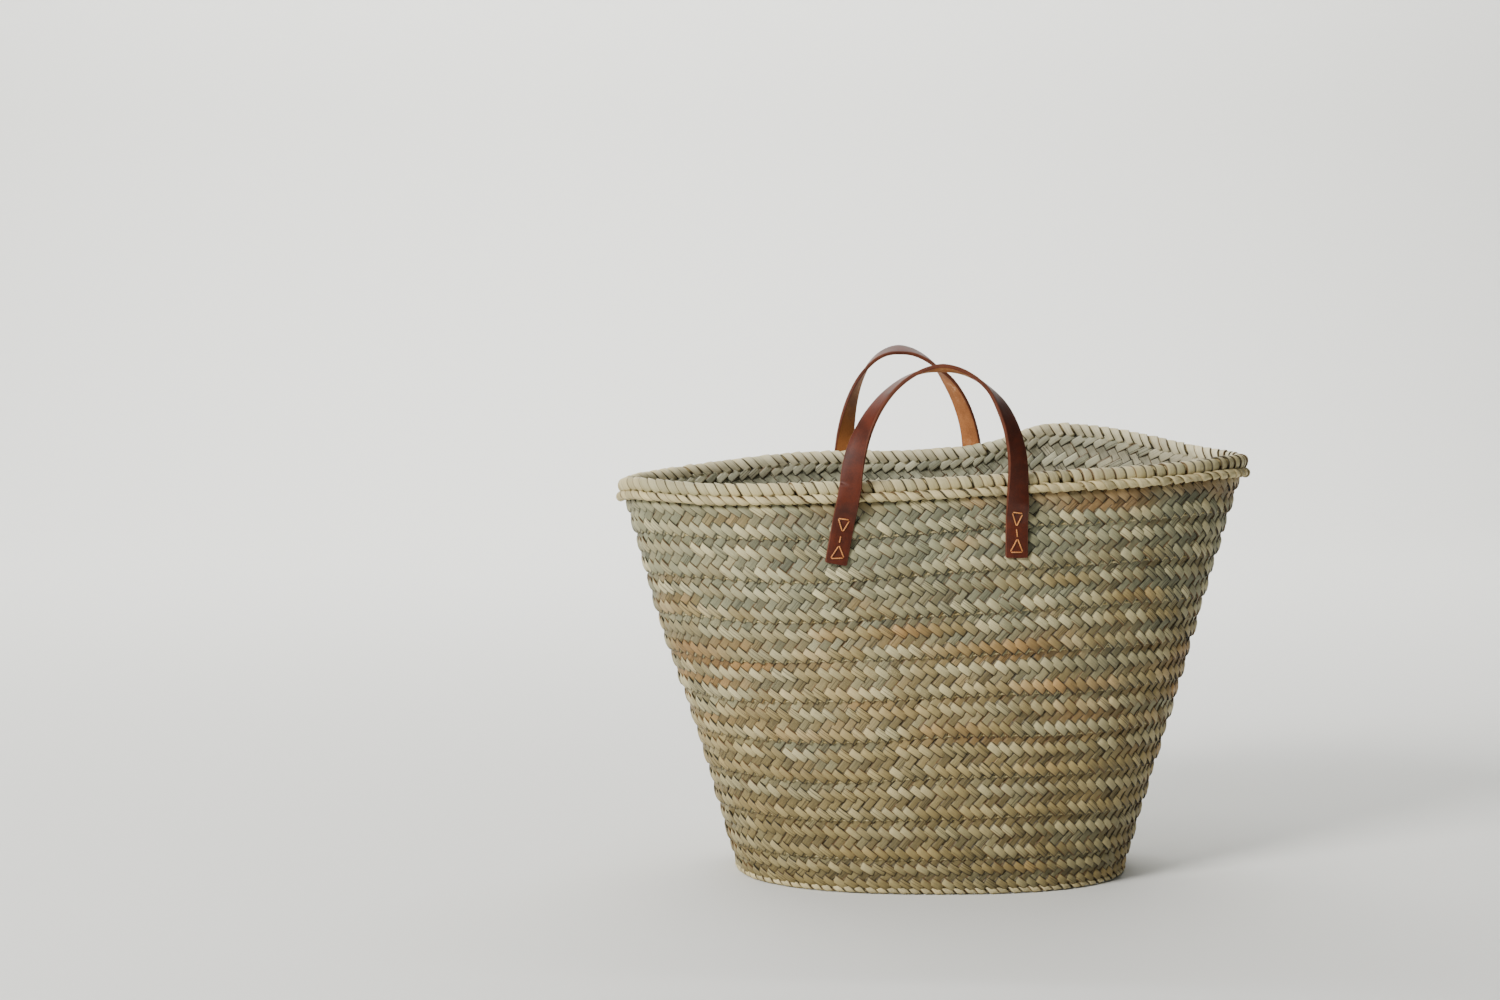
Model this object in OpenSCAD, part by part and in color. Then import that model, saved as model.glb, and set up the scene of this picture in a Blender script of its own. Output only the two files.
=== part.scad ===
// Woven palm-leaf market basket with two leather strap handles.
// Frame: origin on the floor under the middle of the base, +X along the long side of the mouth,
// +Y towards the back handle, +Z up. Millimetres.

/* [Basket body] */
// Half length of the mouth, to the middle of the wall
mouth_half_l = 244.5; // [230:0.5:260]
// Half depth of the mouth, to the middle of the wall
mouth_half_d = 97; // [90:0.5:110]
// Half length of the base, to the middle of the wall
base_half_l = 154.5; // [140:0.5:170]
// Half depth of the base, to the middle of the wall
base_half_d = 97; // [88:0.5:105]
// How far the long walls belly out at half height
belly_d = 7; // [3:0.5:10]
// How far the end walls are drawn in at half height
waist_l = 1.7; // [0:0.1:4]
// Squareness of the oval plan, where 2 is an ellipse
plan_power = 2.4; // [2.2:0.1:2.8]
// Height of the rim at the middle of the long walls
rim_height = 322.5; // [310:0.5:335]
// How much the right end of the rim rises, and the left end drops
rim_tilt = 10; // [6:0.5:12]
// How much the back right corner of the rim rises
lobe_rise = 19; // [10:0.5:22]
// How far the back right corner of the rim opens outwards
lobe_spread = 9; // [4:0.5:12]

/* [Palm plait] */
// Thickness of the plaited strip
plait_t = 3; // [2.6:0.1:3.4]
// Width of the plaited strip, seen flat in the base
plait_w = 32; // [30:0.5:34]
// Height of the first joint between two rounds, as a share of the wall
first_joint = 0.079; // [0.06:0.001:0.11]
// Overlap of one round of plait on the next at a joint
joint_lap = 2.2; // [1.8:0.1:2.6]
// Diameter of the palm cord that sews the rounds together
seam_d = 1.2; // [1:0.05:1.3]

/* [Rim and edges] */
// Height of the wrapped roll on top of the wall
roll_h = 8.5; // [8:0.1:10]
// Half width of the wrapped roll
roll_half_w = 4.9; // [4.6:0.1:5.4]
// Diameter of the core inside the wrapped roll
core_d = 5; // [4:0.1:5.2]
// Diameter of the welt cord under the roll
welt_d = 7; // [6.4:0.1:7.4]
// Diameter of the cord round the edge of the base
base_cord_d = 4.8; // [4:0.1:5]

/* [Leather straps] */
// Width of the leather strap
strap_w = 17; // [15:0.5:19]
// Thickness of the leather strap
strap_t = 3; // [2.6:0.1:3.2]
// Half span of the front handle at the rim
front_half_span = 64; // [58:0.5:68]
// Half span of the back handle at the rim
back_half_span = 53; // [48:0.5:58]
// Height of the top of the front handle
front_top_z = 406; // [395:1:420]
// Height of the top of the back handle
back_top_z = 412; // [400:1:425]
// Height of the strap ends on the wall
strap_end_z = 258; // [255:0.5:262]
// Thickness of the leather backing inside the wall
backing_t = 2; // [1.6:0.1:2.4]
// Diameter of the waxed thread
thread_d = 1.5; // [1.2:0.1:1.6]

/* [Hidden] */
around = 56;                        // segments round the oval
rounds = 10;                        // rounds of plait in the wall
base_rounds = 2;                    // rounds of plait in the base round its centre
half_t = plait_t / 2;
edge_inset = 3.1;                   // the base stops this far inside the wall's middle
edge_cord_out = 0.35;               // the edge cord's centre stands this far outside the wall's middle
gap = 0.15;                         // clearance between plaited pieces
base_lift = base_cord_d + 0.35;     // where the wall starts, just above the base's edge cord
lip_t = half_t / 2;                 // thickness of the lips that lap at a joint
front_axis_y = 106.5;               // distance of the handle axes from the middle
back_axis_y = 109.5;
front_axis_z = 331;
back_axis_z = 337;
knuckle_room = 2.7;                 // strap end to handle axis
knuckle_proud = 0.4;                // how much the round knuckle is thicker and wider than the strap
arch_z = 318;                       // height where the handle arches start
front_mid_x = -3;
back_mid_x = -12;
back_lean = -8;                     // how far the top of the back handle leans sideways
front_twist = 72;                   // turn of the strap's face between leg and top
back_twist = 108;
strap_gap = 0.35;                   // clearance between the strap and the wall

straw = [0.78, 0.72, 0.56];
olive = [0.66, 0.63, 0.48];
cream = [0.86, 0.83, 0.74];
brown = [0.29, 0.17, 0.13];
tan_hide = [0.70, 0.52, 0.36];
amber = [0.80, 0.50, 0.26];

function pad2(k) = k < 10 ? str("0", k) : str(k);

// ---- the shape of the wall ----

// A bell curve that is 1 at zero and falls off over the given width
function bell(d, width) = exp(-pow(d / width, 2));

// A value that goes smoothly from 0 to 1 while v goes from lo to hi
function ease(v, lo, hi) = let (t = min(1, max(0, (v - lo) / (hi - lo)))) t * t * (3 - 2 * t);

// Point of the squared oval at an angle
function oval(phi, half_l, half_d) =
    let (k = pow(pow(abs(cos(phi)), plan_power) + pow(abs(sin(phi)), plan_power), -1 / plan_power))
    [half_l * cos(phi) * k, half_d * sin(phi) * k];

// Share of the back right lobe at an angle: steep towards the handle, gentle towards the end
function lobe(phi) = bell(phi - 63, phi > 63 ? 13 : 24);

// Height of the top of the rim
function rim_z(phi) =
    rim_height + rim_tilt * cos(phi) + 3 * max(0, sin(phi)) + lobe_rise * lobe(phi);

function half_l(s) = base_half_l + (mouth_half_l - base_half_l) * s - waist_l * sin(180 * s);
function half_d(s) = base_half_d + (mouth_half_d - base_half_d) * s + belly_d * sin(180 * s);

// Middle surface of the wall: s is 0 at the base and 1 under the roll
function wall(phi, s) =
    let (p = oval(phi, half_l(s), half_d(s)), open = lobe_spread * lobe(phi) * s * s)
    [p[0] + 0.3 * open, p[1] + open, base_lift + (rim_z(phi) - roll_h - base_lift) * s];

function unit(v) = v / norm(v);
function along(phi, s) = unit(wall(phi + 0.5, s) - wall(phi - 0.5, s));
function rise(phi, s) = unit(wall(phi, s + 0.01) - wall(phi, s - 0.01));
function outward(phi, s) = unit(cross(along(phi, s), rise(phi, s)));

// Point beside the wall: n outwards and v upwards from the middle surface at s
function beside(phi, p) = wall(phi, p[0]) + p[1] * outward(phi, p[0]) + p[2] * rise(phi, p[0]);

// Distance of the wall's middle from the long axis at x and z, on the front or the back
function oval_y(x, s) = half_d(s) * pow(1 - pow(abs(x / half_l(s)), plan_power), 1 / plan_power);
function share(z, top) = (z - base_lift) / (top - roll_h - base_lift);
function wall_y(x, z, back) =
    let (s0 = share(z, rim_height),
         phi = atan2(oval_y(x, s0) / half_d(s0), x / half_l(s0)),
         s = share(z, rim_z(back ? phi : -phi)))
    oval_y(x, s) + (back ? lobe_spread * lobe(phi) * s * s : 0);

// Share of the wall's height at the k-th joint
function joint_s(k) =
    k == 0 ? 0 : k == rounds ? 1 : first_joint + (k - 1) * (1 - first_joint) / (rounds - 1);

// ---- solids swept along closed and open paths ----

// Triangles between ring i and ring i + 1 of m points, out of n rings
function side_faces(n, m, closed) = [
    for (i = [0 : n - (closed ? 1 : 2)], j = [0 : m - 1])
        let (i2 = (i + 1) % n, j2 = (j + 1) % m,
             a = i * m + j, b = i * m + j2, c = i2 * m + j2, d = i2 * m + j)
        for (face = [[a, b, c], [a, c, d]]) face
];

// A section of [s, n, v] points carried right round the basket
module wall_ring(section) {
    m = len(section);
    points = [for (i = [0 : around - 1], p = section) beside(i * 360 / around, p)];
    polyhedron(points, side_faces(around, m, true), convexity = 8);
}

// A round cord carried right round the basket
module cord_ring(s, n, v, d, sides) {
    wall_ring([for (i = [0 : sides - 1])
        [s, n + d / 2 * cos(-i * 360 / sides), v + d / 2 * sin(-i * 360 / sides)]]);
}

// A solid through a list of rings of the same number of points
module skin(rings) {
    m = len(rings[0]);
    n = len(rings);
    points = [for (r = rings, p = r) p];
    caps = [[for (j = [m - 1 : -1 : 0]) j], [for (j = [0 : m - 1]) (n - 1) * m + j]];
    polyhedron(points, concat(side_faces(n, m, false), caps), convexity = 8);
}

// ---- the palm pieces ----

// One round of plait in the wall: an outer lip below laps the round under it, and an inner lip
// above slips behind the round over it
module body_round(k) {
    bottom = joint_s(k - 1);
    top = joint_s(k);
    lower = k == 1
        ? [[bottom, half_t, 0], [bottom, -half_t, 0]]
        : [[bottom, half_t, -joint_lap], [bottom, lip_t, -joint_lap], [bottom, lip_t, 0],
           [bottom, -half_t, 0]];
    upper = k == rounds
        ? [[top, -half_t, 0], [top, half_t, 0]]
        : [[top, -half_t, -gap], [top, -lip_t, -gap], [top, -lip_t, -joint_lap - gap],
           [top, half_t, -joint_lap - gap]];
    color(k < 4 ? olive : straw) wall_ring(concat(lower, upper));
}

// The palm cord that runs inside the joint above round k
module seam_cord(k) {
    color(straw) cord_ring(joint_s(k), 0, -joint_lap / 2 - gap / 2, seam_d, 6);
}

// Outline of the base, drawn in from its edge
module base_outline(inset) {
    polygon([for (i = [0 : around - 1])
        oval(i * 360 / around, base_half_l - edge_inset - inset, base_half_d - edge_inset - inset)]);
}

module base_ring(k) {
    inset = (base_rounds - k) * plait_w;
    color(olive) linear_extrude(plait_t) difference() {
        base_outline(inset);
        base_outline(inset + plait_w - gap);
    }
}

module base_plait_centre() {
    color(olive) linear_extrude(plait_t) base_outline(base_rounds * plait_w);
}

module base_edge_cord() {
    color(cream)
        cord_ring(0, edge_cord_out, base_cord_d / 2 + 0.1 - base_lift, base_cord_d, 8);
}

module rim_core() {
    color(straw) cord_ring(1, -1, core_d / 2 + 0.3, core_d, 6);
}

// The leaf wrapped over the core: an inverted trough that sits on top of the wall
module rim_wrap() {
    w = roll_half_w;
    t = 1.2;
    outer = [[0.9, gap], [1, 0.41 * roll_h], [0.86, 0.78 * roll_h], [0, roll_h]];
    inner = [[0, roll_h - t], [0.82, 0.74 * roll_h - t / 2], [1, 0.41 * roll_h], [0.9, gap]];
    color(cream) wall_ring(concat(
        [for (i = [3 : -1 : 0]) [1, -1 + outer[i][0] * w, outer[i][1]]],
        [for (i = [3 : -1 : 0]) [1, -1 + inner[i][0] * (w - t), inner[i][1]]],
        [for (i = [1 : 3]) [1, -1 - inner[i][0] * (w - t), inner[i][1]]],
        [for (i = [0 : 2]) [1, -1 - outer[i][0] * w, outer[i][1]]]));
}

module rim_welt_cord() {
    color(cream) cord_ring(1, half_t + gap + welt_d / 2, -welt_d / 2, welt_d, 8);
}

// ---- the leather straps ----

function axis_y(back) = back ? back_axis_y : front_axis_y;
function axis_z(back) = back ? back_axis_z : front_axis_z;

// Where a leg of a handle stands: side is -1 for the left leg and 1 for the right leg
function leg_mid(back, side) = back
    ? back_mid_x + side * back_half_span
    : front_mid_x + side * front_half_span;

// The left leg of the front handle spreads outwards towards its end
function leg_x(back, side, z) =
    leg_mid(back, side) - (!back && side < 0 ? 0.18 * max(0, arch_z - z) : 0);

// Distance of the strap's middle from the wall's middle: flat on the wall below, then out over
// the welt cord and up to the handle's axis
function strap_y(x, z, back) =
    let (flat_y = wall_y(x, z, back) + half_t + strap_gap + strap_t / 2)
    flat_y + (axis_y(back) - flat_y) * ease(z, 288, 304);

// A strip of leather along one leg: mid_y gives the distance of its middle at x and z
module leg_strip(back, side, heights, width, thick, mid_y) {
    dir = back ? 1 : -1;
    rings = [for (z = heights)
        let (x = leg_x(back, side, z), a = x - width / 2, b = x + width / 2,
             near = [[a, dir * (mid_y(a, z) - thick / 2), z], [b, dir * (mid_y(b, z) - thick / 2), z]],
             far = [[b, dir * (mid_y(b, z) + thick / 2), z], [a, dir * (mid_y(a, z) + thick / 2), z]])
        back ? [far[1], far[0], near[1], near[0]] : concat(near, far)];
    difference() {
        skin(rings);
        stitch_holes(back, side);
    }
}

// The six holes of the lacing, as [x from the middle of the strap, height]
top_hole_z = 291;
upper_knot_z = 280.5;
lower_knot_z = 272.5;
end_hole_z = strap_end_z + 4;
lacing = [[-4.2, top_hole_z], [4.2, top_hole_z], [0, upper_knot_z], [0, lower_knot_z],
          [-5.6, end_hole_z], [5.6, end_hole_z]];

// Middle of a hole on the strap's outer face
function hole_at(back, side, i) =
    let (z = lacing[i][1], x = leg_x(back, side, z) + lacing[i][0])
    [x, (back ? 1 : -1) * (strap_y(x, z, back) + strap_t / 2), z];

module stitch_holes(back, side) {
    for (i = [0 : len(lacing) - 1])
        translate(hole_at(back, side, i))
            rotate([90, 0, 0])
                cylinder(d = thread_d + 0.2, h = 30, center = true, $fn = 24);
}

module strap_end(back, side) {
    heights = [strap_end_z, 270, 282, 288, 292, 296, 300, 304, axis_z(back) - knuckle_room];
    color(brown)
        leg_strip(back, side, heights, strap_w, strap_t, function (x, z) strap_y(x, z, back));
}

module backing(back, side) {
    heights = [strap_end_z - 3, 266, 280, 292, 301];
    depth = half_t + strap_gap + backing_t / 2;
    color(brown)
        leg_strip(back, side, heights, strap_w + 1, backing_t, function (x, z) wall_y(x, z, back) - depth);
}

// A closed ring of thread through three corners
module thread_triangle(corners) {
    n = len(corners);
    sides = 6;
    points = [for (i = [0 : n - 1])
        let (c = corners[i],
             split = unit(unit(corners[(i + 1) % n] - c) + unit(corners[(i + n - 1) % n] - c)),
             normal = unit(cross(corners[1] - corners[0], corners[2] - corners[0])))
        for (j = [0 : sides - 1])
            c + thread_d / 2 * (cos(j * 360 / sides) * split * -1.4 + sin(j * 360 / sides) * normal)];
    polyhedron(points, side_faces(n, sides, true), convexity = 4);
}

// The waxed thread of one strap end: two triangles with a bar between them, and the stretches
// that go through the strap, the wall and the backing
module stitching(back, side) {
    dir = back ? 1 : -1;
    through = strap_t + 2 * strap_gap + plait_t + backing_t;
    holes = [for (i = [0 : len(lacing) - 1]) hole_at(back, side, i)];
    face = [0, dir * (thread_d / 2 + 0.25), 0];
    bar = holes[3] - holes[2];
    room = 1.8 * unit(bar);
    color(amber) {
        thread_triangle([for (i = [0, 1, 2]) holes[i] + face]);
        thread_triangle([for (i = [3, 4, 5]) holes[i] + face]);
        translate(holes[2] + face + room)
            rotate([0, acos(bar[2] / norm(bar)), atan2(bar[1], bar[0])])
                cylinder(d = thread_d, h = norm(bar) - 2 * norm(room), $fn = 16);
        for (h = holes)
            translate(h - [0, dir * gap, 0])
                rotate([dir * 90, 0, 0])
                    cylinder(d = thread_d, h = through, $fn = 16);
    }
}

// The loop of a handle: the strap stands up from the rim, turns on its length and arches over
module strap_loop(back) {
    dir = back ? 1 : -1;
    top_z = back ? back_top_z : front_top_z;
    mid = back ? back_mid_x : front_mid_x;
    span = back ? back_half_span : front_half_span;
    lean = back ? back_lean : 0;
    twist = back ? back_twist : front_twist;
    height = top_z - arch_z;
    start = asin((axis_z(back) - arch_z) / height);
    steps = 26;
    rings = [for (i = [0 : steps])
        let (t = start + i * (180 - 2 * start) / steps,
             turn = twist * ease(min(t, 180 - t), start + 2, 78),
             x = mid + lean * sin(t) * sin(t) - span * cos(t),
             z = arch_z + height * sin(t),
             tangent = unit([span * sin(t) + 2 * lean * sin(t) * cos(t), 0, height * cos(t)]),
             radial = [-tangent[2], 0, tangent[0]],
             face = cos(turn) * [0, dir, 0] + sin(turn) * radial,
             across = cross(tangent, face),
             c = [x, dir * axis_y(back), z])
        [c - across * strap_w / 2 - face * strap_t / 2, c + across * strap_w / 2 - face * strap_t / 2,
         c + across * strap_w / 2 + face * strap_t / 2, c - across * strap_w / 2 + face * strap_t / 2]];
    color(brown) union() {
        skin(rings);
        for (side = [-1, 1])
            translate([mid + lean * pow(sin(start), 2) + side * span * cos(start),
                       dir * axis_y(back), axis_z(back)])
                rotate([0, 90, 0])
                    cylinder(d = strap_t + knuckle_proud, h = strap_w + knuckle_proud, center = true, $fn = 32);
    }
}

// ---- the assembly ----

base_plait_centre();
base_edge_cord();
rim_core();
rim_wrap();
rim_welt_cord();

for (k = [1 : base_rounds])
    base_ring(k);
for (k = [1 : rounds])
    body_round(k);
for (k = [1 : rounds - 1])
    seam_cord(k);

for (back = [false, true]) {
    place = back ? "back" : "front";
    strap_loop(back);
    for (side = [-1, 1]) {
        hand = side < 0 ? "left" : "right";
        strap_end(back, side);
        backing(back, side);
        stitching(back, side);
    }
}
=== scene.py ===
import math

import bpy
import numpy as np
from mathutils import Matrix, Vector


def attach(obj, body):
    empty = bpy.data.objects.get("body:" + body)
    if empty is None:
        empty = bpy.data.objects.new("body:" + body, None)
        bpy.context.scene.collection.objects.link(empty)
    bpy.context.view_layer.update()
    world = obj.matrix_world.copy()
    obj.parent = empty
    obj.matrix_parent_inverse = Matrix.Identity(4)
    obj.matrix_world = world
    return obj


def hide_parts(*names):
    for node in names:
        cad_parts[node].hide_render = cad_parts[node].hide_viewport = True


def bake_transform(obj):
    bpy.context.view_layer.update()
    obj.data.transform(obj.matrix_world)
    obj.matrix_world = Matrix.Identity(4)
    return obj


# Woven palm-leaf market basket with two leather strap handles. Lengths are metres in the basket's
# own frame: the origin is on the floor under the base, +X runs along the mouth, +Y points to the
# back handle and +Z up. Angles round the basket run anticlockwise from +X, seen from above.

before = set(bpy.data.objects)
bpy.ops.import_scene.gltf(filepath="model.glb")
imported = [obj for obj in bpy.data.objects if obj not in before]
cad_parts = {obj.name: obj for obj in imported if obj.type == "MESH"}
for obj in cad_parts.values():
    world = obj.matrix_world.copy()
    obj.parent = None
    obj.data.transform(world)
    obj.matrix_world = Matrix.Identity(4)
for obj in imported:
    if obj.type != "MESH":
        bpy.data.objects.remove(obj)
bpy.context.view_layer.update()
MM = 0.001

# ---- the shape of the basket

PLAN_POWER = 2.4  # squareness of the oval plan
MOUTH_HALF = (244.5 * MM, 97 * MM)  # half length and half depth of the mouth, to mid wall
BASE_HALF = (154.5 * MM, 97 * MM)
BELLY = 7 * MM  # the long walls belly out at half height
WAIST = 1.7 * MM  # the end walls are drawn in at half height
RIM_HEIGHT = 322.5 * MM
RIM_TILT = 10 * MM
LOBE_RISE = 19 * MM  # the back right corner of the rim rises and opens
LOBE_SPREAD = 9 * MM
LOBE_TURN = 63  # where that corner is, in degrees round the basket
BACK_LIFT = 3 * MM  # the back rim stands a little above the front
WALL_FOOT = 5.15 * MM  # the wall starts on the base's edge cord
ROLL_H = 8.5 * MM
WALL_HALF_T = 1.5 * MM
ROUNDS = 10
FIRST_JOINT = 0.079  # height of the first joint between rounds, as a share
PLAIT_W = 32 * MM
LEAF_PITCH = 8.3 * MM  # from one leaf of a row to the next
ROWS = 4  # rows of leaf in one round of plait
NUDGE = 0.01  # small step for finding directions on the wall
# Hand-made waves in the sewn rows and in the rim: height in mm, middle and width in degrees
ROW_WAVES = ((-4.0, 236, 24), (2.2, 284, 20))
RIM_WAVES = ((3.4, 207, 26), (4.2, 320, 24), (5.6, 110, 24), (2.2, 86, 10), (2.8, 69, 6))
# How the ends swell: how far, which end in degrees, its height and spread as shares
END_SWELLS = ((-3.6 * MM, 180, 0.66, 0.23), (1.8 * MM, 0, 0.42, 0.22))
END_ARC = 55


def bell(distance, width):
    return np.exp(-(distance / width) ** 2)


def ease(value, low, high):
    t = np.clip((value - low) / (high - low), 0, 1)
    return t * t * (3 - 2 * t)


def turn_from(phi, centre):
    """Signed angle from centre to phi in degrees, between -180 and 180."""
    return (np.degrees(phi) - centre + 180) % 360 - 180


def oval(phi, half_l, half_d):
    c, s = np.cos(phi), np.sin(phi)
    k = (np.abs(c) ** PLAN_POWER + np.abs(s) ** PLAN_POWER) ** (-1 / PLAN_POWER)
    return half_l * c * k, half_d * s * k


def lobe(phi):
    away = turn_from(phi, LOBE_TURN)
    return bell(away, np.where(away > 0, 13, 24))


def rim_z(phi):
    lift = RIM_TILT * np.cos(phi) + BACK_LIFT * np.maximum(0, np.sin(phi))
    return RIM_HEIGHT + lift + LOBE_RISE * lobe(phi)


def waves(phi, table):
    return sum(height * bell(turn_from(phi, middle), width) for height, middle, width in table)


def sag(phi, s):
    """How far the hand-sewn rows and the rim wander up and down from an even cone."""
    rows = waves(phi, ROW_WAVES) * np.clip(1.5 * s, 0, 1) * (1 - 0.9 * ease(s, 0.8, 1.0))
    ripple = 0.7 * np.sin(5 * phi + 9 * s) + 0.5 * np.sin(8 * phi - 14 * s)
    return MM * (rows + waves(phi, RIM_WAVES) * s * np.abs(s) + ripple * np.clip(4 * s, 0, 1))


def half_l(s):
    return BASE_HALF[0] + (MOUTH_HALF[0] - BASE_HALF[0]) * s - WAIST * np.sin(np.pi * s)


def half_d(s):
    return BASE_HALF[1] + (MOUTH_HALF[1] - BASE_HALF[1]) * s + BELLY * np.sin(np.pi * s)


def wall(phi, s):
    """Middle surface of the wall: s is 0 at the foot and 1 under the rim's roll."""
    phi, s = np.broadcast_arrays(np.asarray(phi, float), np.asarray(s, float))
    x, y = oval(phi, half_l(s), half_d(s))
    for push, end, level, spread in END_SWELLS:
        x = x + push * bell(turn_from(phi, end), END_ARC) * bell(s - level, spread)
    spread = LOBE_SPREAD * lobe(phi) * s * np.abs(s)
    z = WALL_FOOT + (rim_z(phi) - ROLL_H - WALL_FOOT) * s + sag(phi, s)
    return np.stack([x + 0.3 * spread, y + spread, z], -1)


def unit(v):
    return v / np.linalg.norm(v, axis=-1, keepdims=True)


def wall_axes(phi, s):
    """Unit vectors along the wall, up the wall and out of the wall."""
    along = unit(wall(phi + NUDGE, s) - wall(phi - NUDGE, s))
    rise = unit(wall(phi, s + NUDGE) - wall(phi, s - NUDGE))
    out = unit(np.cross(along, rise))
    return along, rise, out


def joint_share(k):
    """Share of the wall's height at the joint above round k."""
    if k == 0:
        return 0.0
    return FIRST_JOINT + (k - 1) * (1 - FIRST_JOINT) / (ROUNDS - 1)


def run_along(points):
    """Length from the first point of a line to each of its points."""
    return np.concatenate([[0], np.cumsum(np.linalg.norm(np.diff(points, axis=0), axis=1))])


def turn_table(path):
    phi = np.linspace(0, 2 * np.pi, 2001)
    return phi, run_along(path(phi))


def ring_length(path):
    return turn_table(path)[1][-1]


def even_turns(u, path):
    """Angles at equal steps of length along path(phi), with u running past 0 and 1."""
    phi, length = turn_table(path)
    whole = np.floor(u)
    return np.interp((u - whole) * length[-1], length, phi) + 2 * np.pi * whole


def wall_ring(s):
    """The wall's ring at the height share s, as a path round the basket."""
    return lambda phi: wall(phi, s)


# ---- meshes

def new_object(name, mesh):
    obj = bpy.data.objects.new(name, mesh)
    bpy.context.collection.objects.link(obj)
    return obj


def mesh_from(name, points, faces):
    mesh = bpy.data.meshes.new(name)
    mesh.from_pydata([tuple(p) for p in points], [], faces)
    mesh.update()
    return mesh


def grid_faces(rows, cols, closed=False):
    """Quads of a grid of rows x cols points; closed joins the last column to the first."""
    last = cols if closed else cols - 1
    return [(i * cols + j, i * cols + (j + 1) % cols, (i + 1) * cols + (j + 1) % cols, (i + 1) * cols + j)
        for i in range(rows - 1) for j in range(last)]


GUIDE_MARGIN = 0.09  # a guide runs this far past its seam, as a share


def guide_object(name, place, columns=220, v_steps=(0, 1, 8)):
    """A mesh that carries a flat pattern onto a surface. place(u, v) gives points and the way out;
    u goes round the basket and v across the strip, and both are kept as the guide's map."""
    u = np.linspace(-GUIDE_MARGIN, 1 + GUIDE_MARGIN, columns)
    v = np.linspace(*v_steps)
    uu, vv = np.meshgrid(u, v, indexing="ij")
    points, out = place(uu, vv)
    mesh = mesh_from(name, points.reshape(-1, 3), grid_faces(len(u), len(v)))
    flat = np.stack([uu, vv], -1).reshape(-1, 2)
    corner = np.empty(len(mesh.loops), np.int32)
    mesh.loops.foreach_get("vertex_index", corner)
    mesh.uv_layers.new(name="guide").data.foreach_set("uv", flat[corner].ravel())
    way = mesh.attributes.new("outward", "FLOAT_VECTOR", "POINT")
    way.data.foreach_set("vector", out.reshape(-1).astype(np.float32))
    return new_object(name, mesh)


# ---- node trees as formulas

def plug(tree, slot, value):
    """Joins or sets one input socket."""
    if isinstance(value, Num):
        value = value.socket
    if isinstance(value, bpy.types.NodeSocket):
        tree.links.new(value, slot)
    elif value is not None:
        slot.default_value = value


def add(tree, kind, inputs=None, **settings):
    """Adds a node, sets its settings and then its inputs, named or numbered."""
    node = tree.nodes.new(kind)
    for key, value in settings.items():
        setattr(node, key, value)
    for key, value in (inputs or {}).items():
        slot = node.inputs[key] if isinstance(key, int) else \
            next(s for s in node.inputs if s.name == key and s.enabled)
        plug(tree, slot, value)
    return node


class Num:
    """A number inside a node tree, so that sums are written as sums."""

    def __init__(self, tree, socket):
        self.tree = tree
        self.socket = socket

    def op(self, name, *others):
        node = add(self.tree, "ShaderNodeMath", operation=name)
        for slot, value in zip(node.inputs, (self,) + others):
            plug(self.tree, slot, value)
        return Num(self.tree, node.outputs[0])

    def __add__(self, other):
        return self.op("ADD", other)

    def __sub__(self, other):
        return self.op("SUBTRACT", other)

    def __mul__(self, other):
        return self.op("MULTIPLY", other)

    def __truediv__(self, other):
        return self.op("DIVIDE", other)

    def __neg__(self):
        return self.op("MULTIPLY", -1.0)

    __radd__ = __add__
    __rmul__ = __mul__

    def __rsub__(self, other):
        return (-self) + other

    def clip(self, low, high):
        return self.op("MAXIMUM", low).op("MINIMUM", high)

    def ramp(self, low, high):
        """0 below low, 1 above high and smooth between."""
        node = add(self.tree, "ShaderNodeMapRange", {"Value": self, "From Min": low, "From Max": high},
            interpolation_type="SMOOTHSTEP")
        return Num(self.tree, node.outputs[0])


def split(tree, vector):
    node = add(tree, "ShaderNodeSeparateXYZ", {0: vector})
    return [Num(tree, s) for s in node.outputs]


def join(tree, x, y, z):
    return add(tree, "ShaderNodeCombineXYZ", {0: x, 1: y, 2: z}).outputs[0]


def new_group(name, kind, inputs, outputs, result="Float"):
    """A node group with named sockets. An input is a default number or the word for its socket type.
    Gives the tree, its inputs by name and its output node."""
    tree = bpy.data.node_groups.new(name, kind)
    for label, value in inputs.items():
        word = value if isinstance(value, str) else "Int" if isinstance(value, int) else "Float"
        item = tree.interface.new_socket(label, in_out="INPUT", socket_type="NodeSocket" + word)
        if word != value:
            item.default_value = value
    for label in outputs:
        tree.interface.new_socket(label, in_out="OUTPUT", socket_type="NodeSocket" + result)
    given = {label: slot if isinstance(inputs[label], str) else Num(tree, slot)
        for label, slot in tree.nodes.new("NodeGroupInput").outputs.items() if label in inputs}
    return tree, given, tree.nodes.new("NodeGroupOutput")


def hand_out(tree, end, *values):
    for slot, value in zip(end.inputs, values):
        plug(tree, slot, value)


# ---- geometry nodes

STRAND_INPUTS = {
    "Guide": "Geometry", "Strands": 100, "Steps": 18, "Rows": 4.0, "Start": 0.0, "End": 4.0,
    "Travel": 1.0, "Phase": 0.0, "Pitch": LEAF_PITCH, "Row Height": 8 * MM, "Leaf Width": 6 * MM,
    "Thickness": 1.2 * MM, "Swing": 0.0, "Relief": 0.0, "Tuck": 0.0, "Shingle": 0.0,
    "Wander": 0.0, "Round": 0.0, "Seed": 1, "Crowd": 0.0,
}
EDGE_FADE = 4.0  # a leaf turns under within a quarter of a row past the strip's edges
UPPER_TUCK = 0.45  # how far it turns under at the upper edge, as a share of the lower
TURN_NARROWING = 0.10
CRISPNESS = 3.0  # how suddenly a leaf passes from over to under
LEAF_SIDES = 10  # edges of a leaf strand's cross section
LIFT_LUCK = 0.16  # how far chance lifts, tilts, thickens, widens and shifts a leaf
TILT_LUCK = 0.22
THICK_LUCK = 0.12
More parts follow.
